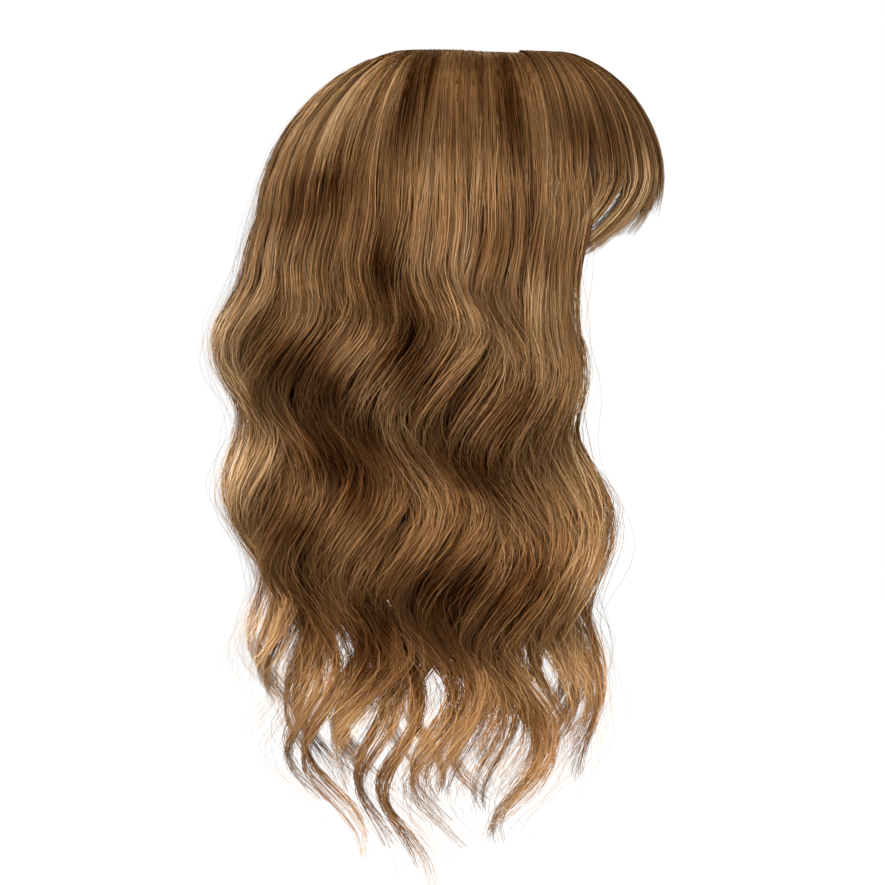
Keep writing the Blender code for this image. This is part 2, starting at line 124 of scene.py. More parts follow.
# A lock is a bundle of wisps, and most of them draw together into tufts towards the tip
USUAL_LOCK_WIDTH = 0.026
WISPS = 13
WISP_REACH = 0.9
WISP_MIXING = 0.5
WISP_THICKNESS = 0.0060
WISP_HALF = 0.34
WISP_HALF_LOST = 0.25
LOOSE_SPREAD = 2.0
TUFTS = 2
TUFT_REACH = 0.5
TUFT_SCATTER = 0.12
DRAWN_SHARE = 0.75
DRAWN = 0.80
LESS_DRAWN = 0.25

# Roots: the share of strands that start at the part, how far out the rest start, less on shallow locks
ROOTED_SHARE = 0.45
LAST_ROOT = 0.38
SHALLOW_DEPTH = 0.15
SHALLOW_ROOTS = 0.6

# How much shorter than their lock strands, wisps and tufts are
STRAND_SHORTER = 0.09
WISP_SHORTER = 0.04
TUFT_SHORTER = 0.07
SHORTEST = 0.60

# How far strands stray round the head, in degrees
CROWN_HALF = 5.2
WISP_SWAY = 1.2
WISP_CROWN_SWAY = 0.9
WISP_TIP_SWAY = 1.3
TUFT_TIP_SWAY = 2.8
FLY_SWAY = 9

# How deep strands lie: at the roots, then on the crown by lock, by chance and at a lock's edge
ROOT_DEPTH = 0.03
ROOT_DEPTH_MORE = 0.05
CROWN_LOCK_DEPTH = 0.25
CROWN_CHANCE_DEPTH = 0.10
CROWN_EDGE_DEPTH = 0.28
FLY_DEPTH = (0.1, 0.5)

# How waves differ between strands, wisps and tufts, and how far loose strands stand off
WISP_STRENGTH = 0.10
WISP_TURNS = 0.035
TUFT_TURNS = 0.055
ACROSS_TURNS = 0.02
TIP_CURL = 0.30
WISP_CURL = 0.20
TUFT_CURL = 0.30
STRAY = 0.0006
STRAY_LOOSE = 3.0
STRAY_FLY = 0.0022
STRAY_WAVES = (0.03, 0.10)
FLICK = 0.0030
FLICK_FLY = 0.0120

# Ranges of the run in which something sets in
GATHER_RUN = (0.45, 1.35)
CROWN_SWAY_RUN = (0.15, 0.7)
CROWN_DEPTH_RUN = (0.1, 0.5)
ROOT_RISE = 0.07
FREE_RUN = 1.15

# Ranges of the way down a lock in which something sets in, from 0 at the crown's edge to 1 at its tip
TIGHTEN_DOWN = (0.35, 0.95)
DRAW_DOWN = (0.50, 0.98)
NARROW_DOWN = (0.50, 1.05)
SWAY_DOWN = (0.5, 1.0)
CURL_DOWN = (0.55, 1.0)
FLICK_DOWN = (0.45, 1.05)

# Tones, and the light and shade painted along the long strands: painted highlights at the part, on
# wave crests and at the tips, and painted shade below the part, in troughs, at lock edges and inside
WISP_TONE = 0.26
STRAND_TONE = 0.28
LOOSE_TONE = 0.25
CROWN_LIGHT = 0.54
CROWN_LIGHT_MORE = 0.41
ROOT_LIGHT_MORE = 1.1
CREST_LATER = 0.5
CREST_LIGHT = 1.10
TROUGH_DARK = 0.66
EDGE_DARK = 0.60
DEPTH_DARK = 0.45
TIP_LIGHT_MORE = 0.40
LEFT_ACCENT_SHIFT = -0.012

# Limits of the accents' painted light and shade, and how the streaks of their edges differ from strand to
# strand
DARKEST = 0.07
LIGHTEST = 2.2
ACCENT_ASIDE = 0.0026
ACCENT_LOWER = 0.0055
ACCENT_STRENGTH = (0.80, 1.20)

# The curtain of hair at some drops, as shares of HAIR_DROP: shares of the reach behind, before, beside
Section = namedtuple("Section", "drop back front side")
CURTAIN = [Section(*row) for row in (
    (0.186, 0.87, 0.92, 0.95),
    (0.258, 0.94, 0.81, 0.98),
    (0.353, 1.00, 0.80, 1.00),
    (0.448, 0.97, 0.84, 1.00),
    (0.528, 0.95, 0.88, 0.99),
    (0.606, 0.91, 0.91, 0.97),
    (0.696, 0.85, 0.88, 0.92),
    (0.773, 0.81, 0.82, 0.88),
    (0.894, 0.76, 0.76, 0.80),
    (1.000, 0.68, 0.70, 0.73),
)]

# Locks: angle from the front in degrees at the crown's edge, how far the tip has moved round,
# width in metres, drop as a share of HAIR_DROP, depth as a share of HAIR_DEPTH, length of a wave
# in metres, where it starts in turns, how wide it swings, and how light the lock is from -1 to 1
Lock = namedtuple("Lock", "angle drift width drop depth wave phase swing tone")
RIGHT_OUTER = [Lock(*row) for row in (
    (61, -8, 0.022, 0.9, 0.4, 0.086, 0.36, 0.65, 0),
    (67, -6, 0.026, 0.84, 0.06, 0.086, 0.25, 0.8, 0.1),
    (74, -6, 0.024, 0.95, 0.4, 0.088, 0.17, 0.9, 0),
    (83, -6, 0.03, 0.975, 0.04, 0.086, 0.11, 1.1, 0.2),
    (91, -3, 0.024, 0.985, 0.38, 0.084, 0.2, 0.95, -0.3),
    (99, 0, 0.03, 1.01, 0.04, 0.087, 0.31, 1.15, 0.3),
    (108, 12, 0.026, 1.04, 0.3, 0.084, 0.22, 0.95, -0.3),
    (117, 4, 0.03, 0.89, 0.05, 0.08, 0.25, 1.05, 0),
    (127, 2, 0.024, 0.88, 0.4, 0.078, 0.14, 0.9, -0.2),
    (137, 9, 0.03, 0.965, 0.04, 0.082, 0.3, 1.1, 0.1),
    (147, 4, 0.026, 0.92, 0.3, 0.08, 0.36, 0.9, -0.1),
    (157, 2, 0.03, 0.83, 0.04, 0.078, 0.4, 1, 0.4),
    (167, 1, 0.024, 0.78, 0.36, 0.077, 0.36, 1.1, 0.1),
    (176, 0, 0.026, 0.79, 0.06, 0.077, 0.3, 1, 0.3),
)]
LEFT_OUTER = [Lock(*row) for row in (
    (61, -8, 0.022, 0.9, 0.4, 0.086, 0.37, 0.65, 0),
    (68, -6, 0.026, 0.93, 0.06, 0.086, 0.26, 0.8, 0.2),
    (76, -4, 0.024, 0.88, 0.4, 0.082, 0.16, 0.95, -0.2),
    (85, -2, 0.03, 0.97, 0.04, 0.088, 0.36, 1.1, 0.3),
    (94, 0, 0.024, 0.92, 0.4, 0.084, 0.2, 0.95, -0.2),
    (103, 2, 0.03, 0.96, 0.04, 0.08, 0.3, 1.05, 0.2),
    (113, 0, 0.026, 0.89, 0.4, 0.086, 0.62, 0.95, -0.3),
    (123, 4, 0.03, 0.95, 0.04, 0.083, 0.35, 1.15, 0.1),
    (133, 2, 0.024, 0.83, 0.4, 0.079, 0.48, 0.9, -0.1),
    (143, 2, 0.03, 0.87, 0.04, 0.086, 0.62, 1.05, 0.2),
    (153, 2, 0.024, 0.78, 0.38, 0.08, 0.4, 0.95, -0.2),
    (164, 1, 0.03, 0.81, 0.04, 0.078, 0.37, 1, 0.1),
    (174, 0, 0.026, 0.76, 0.36, 0.077, 0.31, 0.95, 0),
)]

# Painted shade and painted highlights, where locks part or turn to the light: the middle along the head
# and up from the origin, half the length and height, all in millimetres, how far it leans along the head
# for the way up, and the share of light that it adds, below 0 where it is darker
Accent = namedtuple("Accent", "x z half_length half_height lean light")


def accents(*rows):
    return [Accent(*(0.001 * size for size in row[:4]), *row[4:]) for row in rows]


LONG_PAINTED_LIGHT = accents(
    (12, -8, 16, 10, 0, -0.45),
    (-22, -8, 8, 10, 0, -0.3),
    (-29, -21, 7, 25, 0.3, -0.9),
    (15, -27, 10, 25, -0.17, -0.82),
    (-14, -28, 8, 22, 0.1, -0.62),
    (-74, -64, 24, 21, 0.6, -0.9),
    (-20, -79, 8, 12, 0, -0.4),
    (8, -86, 15, 18, 0, -0.54),
    (26, -81, 12, 14, 0, -0.26),
    (34, -94, 10, 12, 0, -0.5),
    (-44, -100, 10, 30, 0, -0.89),
    (-90, -137, 16, 17, -0.6, -0.86),
    (-28, -138, 14, 30, 0.3, -0.93),
    (-64, -153, 14, 15, -0.5, -0.72),
    (22, -158, 8, 14, 0, -0.35),
    (11, -160, 21, 14, -0.5, -0.7),
    (-56, -175, 9, 14, -0.5, -0.3),
    (-59, -190, 22, 19, -0.5, -0.88),
    (-1, -190, 13, 19, -0.5, -0.77),
    (-50, -212, 10, 16, -0.3, -0.6),
    (-8, -216, 10, 10, 0, -0.5),
    (-85, -218, 14, 16, -0.5, -0.79),
    (27, -238, 14, 14, -0.3, -0.86),
    (-18, -242, 29, 17, -0.3, -0.86),
    (11, -252, 16, 14, -0.3, -0.81),
    (-78, -259, 10, 10, 0, -0.42),
    (-51, -262, 10, 14, 0, -0.45),
    (-15, -266, 24, 10, 0, -0.42),
    (-73, -268, 14, 14, 0, -0.5),
    (-45, -272, 13, 16, 0, -0.93),
    (-10, -280, 16, 12, 0, -0.5),
    (-52, -285, 12, 12, 0, -0.6),
    (-30, -292, 12, 10, 0, -0.5),
    (-10, -295, 14, 10, 0, -0.7),
    (26, -309, 12, 13, 0, -0.77),
    (-66, -10, 22, 13, 0.8, 1.6),
    (-63, -33, 14, 18, 0.6, 0.85),
    (-108, -64, 8, 14, 0.3, 0.6),
    (-94, -90, 12, 30, 0.5, 0.25),
    (-8, -102, 7, 16, 0, 0.7),
    (27, -112, 9, 14, 0, 0.6),
    (-124, -145, 11, 26, 0, 2),
    (-49, -158, 8, 10, 0.5, 1.3),
    (-37, -168, 8, 10, 0, 1),
    (-88, -180, 11, 14, 0, 0.55),
    (52, -185, 10, 16, 0, 2),
    (40, -186, 12, 16, -0.3, 0.3),
    (-117, -198, 12, 24, 0.2, 1.5),
    (27, -200, 10, 10, -0.3, 0.5),
    (54, -224, 9, 18, 0, 0.2),
    (-45, -240, 10, 10, 0.5, 0.5),
    (55, -251, 10, 10, 0, 0.35),
    (-6, -252, 8, 8, 0, 0.6),
    (52, -255, 8, 20, 0, 0.5),
    (-103, -271, 12, 14, 0, 1.2),
    (44, -283, 21, 16, 0, 0.7),
    (-32, -302, 10, 12, 0, 0.3),
    (-61, -311, 9, 12, 0, 0.7),
)
BANGS_PAINTED_LIGHT = accents(
    (71, -36, 12, 12, -0.4, -0.35),
    (53, -36, 11, 12, -0.4, -0.62),
    (69, -75, 21, 12, 0.6, 1.5),
    (85, -55, 10, 14, 0, 0.8),
)

# The layers of the long hair: strands on a lock of the usual width, how wide they are, the share that
# leaves its wisp, how light they are as painted light and shade, points below the crown, and how far they
# fly from the locks
Layer = namedtuple("Layer", "name per_lock width loose shade points fly")
OUTER_LAYER = Layer("outer", 158, 1.0, 0.06, 1.0, HANG_POINTS, 0.0)
# The middle layer lies under the others and takes painted shade; the loose strands take painted backlight
MIDDLE_LAYER = Layer("middle", 118, 1.5, 0.03, 0.66, MIDDLE_POINTS, 0.0)
LOOSE_LAYER = Layer("loose", 46, 0.56, 1.0, 1.20, HANG_POINTS, 0.8)

# The inner locks: depth, first and last angle and the step between locks in degrees, and length
INNER_DEPTH = 0.55
INNER_FIRST = 61
INNER_LAST = 178
INNER_STEP = 8.5
INNER_DROP = 0.81

# Colours of the materials, from dark to light
HAIR_TONES = ((0.0, (0.042, 0.017, 0.006)), (0.35, (0.125, 0.060, 0.022)),
              (0.65, (0.250, 0.135, 0.057)), (1.0, (0.455, 0.283, 0.150)))
TIP_TONES = ((0.0, (0.135, 0.053, 0.017)), (0.45, (0.300, 0.140, 0.050)), (1.0, (0.480, 0.262, 0.112)))
SHADE_POWERS = (1.0, 1.2, 1.4)
# The inner body's tones are dark as painted shade under and between the strands
CORE_TONES = ((0.30, (0.020, 0.009, 0.003)), (0.55, (0.070, 0.033, 0.012)), (0.80, (0.160, 0.080, 0.030)))
NET_TONES = ((0.0, (0.030, 0.017, 0.010)), (1.0, (0.130, 0.078, 0.045)))
COMB_TONES = ((0.30, (0.020, 0.012, 0.008)), (0.70, (0.050, 0.031, 0.020)))
COMB_WORN = (0.16, 0.12, 0.09, 1.0)

# The room: soft lights with their place, side and power, the surround's light, and the floor
Light = namedtuple("Light", "name place size watts")
LIGHTS = [Light(*row) for row in (
    ("key", (-0.5, -1.7, 0.6), 0.7, 45),
    ("left", (-1.5, -0.7, 0.1), 0.8, 23),
    ("right", (1.5, -0.8, -0.1), 0.8, 23),
    ("top", (0.0, 0.0, 1.3), 0.6, 17),
    ("back", (-0.5, 1.6, 0.4), 1.0, 22),
)]
HAIR_MIDDLE = -0.15
SURROUND_LIGHT = 0.19
FLOOR_LEVEL = -0.47
FLOOR_HALF = 6.0


def unit(vectors):
    """Vectors of length 1 in the same directions."""
    return vectors / np.maximum(np.linalg.norm(vectors, axis=-1, keepdims=True), 1e-12)


def ramp(value, start, full):
    """0 before start, 1 past full, and a smooth step between."""
    share = np.clip((value - start) / (full - start), 0.0, 1.0)
    return share * share * (3 - 2 * share)


def fine_curve(column):
    """One column of the curtain's table as a smooth curve of many points."""
    places = np.array([row.drop for row in CURTAIN])
    values = np.array([getattr(row, column) for row in CURTAIN])
    slopes = np.gradient(values, places)
    fine = np.linspace(places[0], places[-1], 300)
    i = np.clip(np.searchsorted(places, fine, side="right") - 1, 0, len(places) - 2)
    span = places[i + 1] - places[i]
    t = (fine - places[i]) / span
    curve = values[i] * (2 * t**3 - 3 * t**2 + 1) + slopes[i] * span * (t**3 - 2 * t**2 + t)
    curve += values[i + 1] * (3 * t**2 - 2 * t**3) + slopes[i + 1] * span * (t**3 - t**2)
    return fine, curve


CURVES = {column: fine_curve(column) for column in ("back", "front", "side")}


def head_height(x, y):
    """The height of the head's crown at plan points."""
    spread = (x / HEAD_HALF_LENGTH) ** 2 + (y / HEAD_HALF_WIDTH) ** 2
    return -HEAD_RISE * (1 - np.sqrt(np.maximum(1 - spread, 0.0)))


def from_part(ring_x, ring_y, share):
    """Plan points on the straight ways from the part line out to ring points."""
    root_x = np.clip(ring_x * ROOT_SPREAD, -PART_BACK, PART_FRONT)
    out_x, out_y = ring_x - root_x, ring_y
    length = np.maximum(np.hypot(out_x, out_y), 1e-9)
    start_x = root_x + out_x / length * PART_HALF_WIDTH
    start_y = out_y / length * PART_HALF_WIDTH
    return start_x + (ring_x - start_x) * share, start_y + (ring_y - start_y) * share


def crown_points(angle, run, depth, reach_x, reach_y, level, head_share):
    """Points on the crown, run 0 at the part and 1 at its edge, depth 1 on the base."""
    turn = run * math.pi / 2
    cos, sin = np.cos(angle), np.sin(angle)
    out_x, out_y = from_part(reach_x * cos, reach_y * sin, np.sin(turn))
    out_z = -level + (HAIR_TOP + level) * np.cos(turn)
    in_x, in_y = from_part(HEAD_HALF_LENGTH * head_share * cos,
                           HEAD_HALF_WIDTH * head_share * sin, np.sin(turn))
    in_z = head_height(in_x, in_y) + BASE_TOP
    outside = np.stack([out_x, out_y, out_z], -1)
    inside = np.stack([in_x, in_y, in_z], -1)
    return outside + (inside - outside) * depth[..., None]


def long_points(angle, run, depth):
    """Points of the long hair: run 0 to 1 is the crown, and past 1 it hangs."""
    drop = CROWN_LEVEL + np.maximum(run - 1, 0) * HAIR_DROP
    reaches = {name: np.interp(drop / HAIR_DROP, *curve) for name, curve in CURVES.items()}
    front = np.cos(angle) >= 0
    reach = np.where(front, FRONT_REACH * reaches["front"], BACK_REACH * reaches["back"])
    side = SIDE_REACH * reaches["side"]
    crown = crown_points(angle, np.minimum(run, 1), depth, reach, side, CROWN_LEVEL, 1.0)
    inset = HAIR_DEPTH * depth
    hanging = np.stack([(reach - inset) * np.cos(angle), (side - inset) * np.sin(angle), -drop], -1)
    return np.where((run < 1)[..., None], crown, hanging)


def bangs_points(angle, run, depth):
    """Points of the bangs, which fall over the forehead and then sweep back round each temple."""
    head_share = math.sqrt(1 - (1 - BANGS_LEVEL / HEAD_RISE) ** 2)
    fall = np.maximum(run - 1, 0) * BANGS_DROP
    share = fall / (BANGS_DROP - BANGS_LEVEL)
    sweep = np.sign(angle) * ramp(np.abs(angle), *BANGS_TURN_IN)
    sweep = sweep * (1 - ramp(np.abs(angle), *BANGS_TURN_OUT) * BANGS_TURN_LOST)
    turned = angle + math.radians(BANGS_TURN) * sweep * share**1.6
    points = crown_points(turned, np.minimum(run, 1), depth, BANGS_REACH, BANGS_SIDE_REACH,
                          BANGS_LEVEL, head_share)
    points[..., :2] *= (1 - BANGS_DRAW_IN * share**1.5)[..., None]
    points[..., 2] -= fall
    return points


def frames(surface, angle, run, depth):
    """Points of a surface with the directions round the head and out of it, and their spacing."""
    step = 0.002
    here = surface(angle, run, depth)
    around = surface(angle + step, run, depth) - surface(angle - step, run, depth)
    down = surface(angle, run + step, depth) - surface(angle, np.maximum(run - step, 0), depth)
    out = -unit(np.cross(around, down))
    return here, unit(around), out, np.linalg.norm(around, axis=-1) / (2 * step)


# A strand's shade is the painted light and shade at each of its points
Strands = namedtuple("Strands", "points out width tone along shade group")


def accents_at(points, rows, shift, rng):
    """How much lighter or darker the accents' painted highlights and shade make each point, streaked from
    strand to strand.
    """
    count = len(points)
    aside = shift + rng.normal(0, ACCENT_ASIDE, (count, 1))
    lower = rng.normal(0, ACCENT_LOWER, (count, 1))
    strength = rng.uniform(*ACCENT_STRENGTH, (count, 1))
    light = np.ones(points.shape[:-1])
    for row in rows:
        away = points[..., 2] + lower - row.z
        near = ((points[..., 0] - row.x - aside - row.lean * away) / row.half_length) ** 2
        near = near + (away / row.half_height) ** 2
        light = light * (1 + row.light * strength * np.exp(-near))
    return np.clip(light, DARKEST, LIGHTEST)


def wave_of(locks, angle):
    """The length of a wave and the turns where it starts, eased from lock to lock."""
    places = [math.radians(lock.angle) for lock in locks]
    middles = [lock.phase + WAVE_MIDDLE / lock.wave for lock in locks]
    middles = np.unwrap([TURN * turns for turns in middles]) / TURN
    length = np.interp(angle, places, [lock.wave for lock in locks])
    return length, np.interp(angle, places, middles) - WAVE_MIDDLE / length


class Bundle:
    """The strands of some locks, with the lock, wisp and tuft that each belongs to."""

    def __init__(self, locks, per_lock, rng):
        self.rng = rng
        self.locks = len(locks)
        counts = [int(round(per_lock * lock.width / USUAL_LOCK_WIDTH)) for lock in locks]
        self.index = np.repeat(np.arange(self.locks), counts)
        self.count = len(self.index)
        self.lock = Lock(*np.array(locks, float)[self.index].T[..., None])
        self.pick_wisps()

    def pick_wisps(self):
        """Give each strand the wisp that lies nearest to its root, and each wisp its nearest tuft."""
        seats = self.rng.uniform(0, 1, (self.locks, WISPS, 2))
        radius, turn = np.sqrt(seats[..., 0]) * WISP_REACH, seats[..., 1] * TURN
        seat_u, seat_v = radius * np.cos(turn), radius * np.sin(turn)
        self.root_u = self.each(-1, 1)
        pull = np.abs(self.root_u - seat_u[self.index])
        pull = pull + WISP_MIXING * self.rng.uniform(0, 1, (self.count, WISPS))
        self.wisp = np.argmin(pull, axis=1)
        self.wisp_u = seat_u[self.index, self.wisp][:, None]
        self.wisp_v = seat_v[self.index, self.wisp][:, None]

        tuft_u = np.linspace(-TUFT_REACH, TUFT_REACH, TUFTS)
        tuft_u = tuft_u + self.rng.normal(0, TUFT_SCATTER, (self.locks, TUFTS))
        nearest = np.argmin(np.abs(seat_u[..., None] - tuft_u[:, None, :]), axis=2)
        self.tuft = nearest[self.index, self.wisp]
        self.tuft_u = tuft_u[self.index, self.tuft][:, None]
        joins = self.rng.uniform(0, 1, (self.locks, WISPS)) < DRAWN_SHARE
        self.drawn = np.where(joins, DRAWN, LESS_DRAWN)[self.index, self.wisp][:, None]

    def each(self, low, high):
        return self.rng.uniform(low, high, (self.count, 1))

    def per_wisp(self, spread):
        return self.rng.normal(0, spread, (self.locks, WISPS))[self.index, self.wisp][:, None]

    def per_tuft(self, spread):
        return self.rng.normal(0, spread, (self.locks, TUFTS))[self.index, self.tuft][:, None]


def strand_runs(bundle, points_hanging):
    """Where strands start and end, the runs of their points, and how far down their lock these are."""
    lock, each = bundle.lock, bundle.each
    start = np.where(each(0, 1) < ROOTED_SHARE, 0.0, each(0, LAST_ROOT))
    start = start * np.where(lock.depth < SHALLOW_DEPTH, SHALLOW_ROOTS, 1.0)
    length = 1 - STRAND_SHORTER * each(0, 1) ** 2.0 - WISP_SHORTER * np.abs(bundle.per_wisp(1.0))
    length = length - TUFT_SHORTER * np.abs(bundle.per_tuft(1.0))
    length = np.clip(length, SHORTEST, 1.0)
    end = 1 + (lock.drop * HAIR_DROP - CROWN_LEVEL) / HAIR_DROP * length
    crown = start + (1 - start) * np.linspace(0, 1, CROWN_POINTS)[None, :-1]
    hang = 1 + (end - 1) * np.linspace(0, 1, points_hanging)[None, :]
    run = np.concatenate([crown, hang], 1)
    down = np.clip((run - 1) / (lock.drop - CROWN_LEVEL / HAIR_DROP), 0, 1.1)
    return start, end, run, down


def places_in_lock(bundle, down, gather, around_wisp, wisp_turn):
    """Places across and through the lock from -1 to 1, as wisps tighten and draw into tufts."""
    tight = (WISP_HALF - WISP_HALF_LOST * ramp(down, *TIGHTEN_DOWN)) * around_wisp
    turned = wisp_turn + bundle.each(-1.0, 1.6) * down * 2.0
    draw = bundle.drawn * ramp(down, *DRAW_DOWN)
    seat = bundle.wisp_u + (bundle.tuft_u - bundle.wisp_u) * draw
    across = bundle.root_u * (1 - gather) + (seat + tight * np.cos(turned)) * gather
    through = bundle.wisp_v * (1 - draw) + tight * np.sin(turned)
    return across, through


def long_angles(bundle, run, down, gather, across, narrowing, fly):
    """Angles round the head, fanned over the crown and gathered into the locks below it."""
    lock = bundle.lock
    centre = np.radians(lock.angle + lock.drift * down)
    span = frames(long_points, centre, np.maximum(run, 0.05), lock.depth + 0 * run)[3]
    hang_half = lock.width / 2 * narrowing / span
    angle = centre + across * (np.radians(CROWN_HALF) * (1 - gather) + hang_half * gather)
    angle = angle + np.radians(bundle.per_wisp(WISP_SWAY) * np.sin(math.pi * down)) * gather
    crown_sway = np.radians(bundle.per_wisp(WISP_CROWN_SWAY))
    angle = angle + crown_sway * ramp(run, *CROWN_SWAY_RUN) * (1 - gather)
    tip_sway = bundle.per_wisp(WISP_TIP_SWAY) + bundle.per_tuft(TUFT_TIP_SWAY)
    angle = angle + np.radians(tip_sway * ramp(down, *SWAY_DOWN))
    angle = angle + np.radians(fly * bundle.each(-FLY_SWAY, FLY_SWAY)) * ramp(down, 0.0, 0.8)
    limit = math.radians(HAIR_FRONT_ANGLE - 1)
    return np.where(run < FREE_RUN, np.maximum(angle, limit), angle)


def long_depths(bundle, start, run, gather, edge, hang_depth, fly):
    """Depths that rise out of the base at the root, and follow the crown and then the locks."""
    lock, each = bundle.lock, bundle.each
    crown_depth = ROOT_DEPTH + ROOT_DEPTH_MORE * each(0, 1)
    in_front = ramp(-lock.angle, -PART_DIP_ANGLES[0], -PART_DIP_ANGLES[1])
    crown_depth = crown_depth + PART_DIP * in_front * (1 - ramp(run, *PART_DIP_RUN))
    deeper = CROWN_LOCK_DEPTH * lock.depth + CROWN_CHANCE_DEPTH * each(0, 1) + CROWN_EDGE_DEPTH * edge
    crown_depth = crown_depth + deeper * ramp(run, *CROWN_DEPTH_RUN)
    depth = crown_depth * (1 - gather) + hang_depth * gather
    depth = depth - fly * each(*FLY_DEPTH) * ramp(run, 0.3, 1.5)
    rise = ramp(run, start - 0.001, start + ROOT_RISE)
    return 1 - (1 - np.clip(depth, -0.6, 1.0)) * rise


def long_waves(bundle, run, down, drop, angle, across, is_loose, fly):
    """How far points wave sideways and outward, how much of the wave is on, and its turns."""
    lock, each = bundle.lock, bundle.each
    late = FRONT_WAVE_LATER * ramp(-lock.angle, -FRONT_WAVE_ANGLES[0], -FRONT_WAVE_ANGLES[1])
    fade = ramp(drop, WAVE_START + late, WAVE_FULL + late)
    strength = fade * (1 + bundle.per_wisp(WISP_STRENGTH)) * each(0.92, 1.08)
    curl = np.clip(TIP_CURL + bundle.per_wisp(WISP_CURL) + bundle.per_tuft(TUFT_CURL), -0.2, 1.0)
    strength = strength * (1 + curl * ramp(down, *CURL_DOWN))
    turns = drop / (lock.wave * each(0.99, 1.01)) + lock.phase + bundle.per_wisp(WISP_TURNS)
    turns = turns + ACROSS_TURNS * across
    turns = turns + bundle.per_tuft(TUFT_TURNS) * ramp(down, 0.3, 0.9)
    sideways = WAVE_SIDEWAYS * lock.swing * strength * np.sin(TURN * turns)
    sideways = sideways * ramp(math.pi - angle, 0.0, SEAM_WIDTH)
    outward = WAVE_OUTWARD * strength * np.cos(TURN * turns)
    stray = (np.where(is_loose, STRAY_LOOSE, 1.0) * STRAY + fly * STRAY_FLY) * ramp(run, 0.5, 2.0)
    sideways = sideways + stray * np.sin(TURN * (drop / each(*STRAY_WAVES) + each(0, 1)))
    outward = outward + stray * np.sin(TURN * (drop / each(*STRAY_WAVES) + each(0, 1)))
    flick = np.clip(bundle.per_wisp(1.0), 0, 2) * (FLICK + FLICK_FLY * fly)
    return sideways, outward + flick * ramp(down, *FLICK_DOWN) ** 1.5, fade, turns


def long_light(layer, run, down, along, gather, edge, hang_depth, fade, turns):
    """Painted light of the long hair: painted highlights at the part and on wave crests, and painted
    shade just below the part, in troughs, at the crown's lock edges and inside.
    """
    light = layer.shade
    # The middle layer's painted shade fades out towards the tips
    if layer.shade < 1:
        light = layer.shade + (1 - layer.shade) * ramp(along, 0.62, 0.85)
    light = light * (CROWN_LIGHT + CROWN_LIGHT_MORE * ramp(run, 0.0, 0.85))
    light = light * (1 + ROOT_LIGHT_MORE - ROOT_LIGHT_MORE * ramp(run, 0.03, 0.18))
    crest = 0.5 + 0.5 * np.cos(TURN * turns + CREST_LATER)
    trough = fade * (1 - crest) * (1 - 0.7 * layer.fly) * (1 - 0.6 * ramp(down, 0.55, 0.90))
    light = light * (CREST_LIGHT - TROUGH_DARK * trough)
    light = light * (1 - EDGE_DARK * edge * ramp(run, 0.05, 0.3))
    return light * (1 - DEPTH_DARK * gather * np.clip(hang_depth - 0.05, 0, 0.7) / 0.7)


def long_widths(bundle, layer, run, down, end, is_loose):
    """Widths of the strands, which are thinner at the root and run out to a point at the tip."""
    width = layer.width
    widths = STRAND_WIDTH * (width + (min(width, 0.9) - width) * ramp(down, 0.35, 0.75))
    widths = widths * np.where(is_loose, 0.7, 1.0) * bundle.each(0.75, 1.25)
    share = np.clip((run - 1) / (end - 1), 0, 1)
    widths = widths * (1 - 0.55 * ramp(share, 0.82, 1.0))
    return widths * (0.7 + 0.3 * ramp(run, 0, 0.3))


def long_strands(locks, layer, side, rng):
    """Strands of the long hair, gathered into waved locks of thin wisps that narrow to the tips.

    In a layer with fly they leave the locks and stand off them, as loose hairs do.
    """
    bundle = Bundle(locks, layer.per_lock, rng)
    is_loose = bundle.each(0, 1) < layer.loose
    around_wisp = np.sqrt(bundle.each(0, 1)) * np.where(is_loose, LOOSE_SPREAD, 1.0)
    wisp_turn = bundle.each(0, TURN)
    start, end, run, down = strand_runs(bundle, layer.points)
    along = np.clip(run / (1 + (1 - CROWN_LEVEL / HAIR_DROP)), 0, 1)

    gather = ramp(run, *GATHER_RUN)
    narrowing = 1 - 0.50 * ramp(down, *NARROW_DOWN)
    across, through = places_in_lock(bundle, down, gather, around_wisp, wisp_turn)
    angle = long_angles(bundle, run, down, gather, across, narrowing, layer.fly)
    edge = bundle.root_u**2 * (1 - gather)
    hang_depth = bundle.lock.depth + through * WISP_THICKNESS / HAIR_DEPTH * narrowing
    depth = long_depths(bundle, start, run, gather, edge, hang_depth, layer.fly)
    here, around, out, _ = frames(long_points, angle, np.maximum(run, 0.002), depth)
    sideways, outward, fade, turns = long_waves(bundle, run, down, -here[..., 2], angle, across,
                                                is_loose, layer.fly)
    points = here + around * sideways[..., None] + out * outward[..., None]

    tone = bundle.lock.tone * 0.5 + bundle.per_wisp(WISP_TONE) * (0.45 + 0.55 * ramp(run, 0.4, 1.2))
    tone = tone + rng.normal(0, STRAND_TONE, (bundle.count, 1)) + np.where(is_loose, LOOSE_TONE, 0.0)
    # Painted light: highlights and shade from long_light, the accents' painted shade and highlights, and
    # a painted lightening of the tips
    light = long_light(layer, run, down, along, gather, edge, hang_depth, fade, turns)
    light = light * accents_at(points, LONG_PAINTED_LIGHT, 0.0 if side < 0 else LEFT_ACCENT_SHIFT, rng)
    light = light * (1 + TIP_LIGHT_MORE * ramp(along, 0.72, 0.95))
    widths = long_widths(bundle, layer, run, down, end, is_loose)
    points[..., 1] *= side
    out[..., 1] *= side
    return Strands(points, out, widths, np.clip(tone, -1, 1) + 0 * run, along, light, bundle.index)


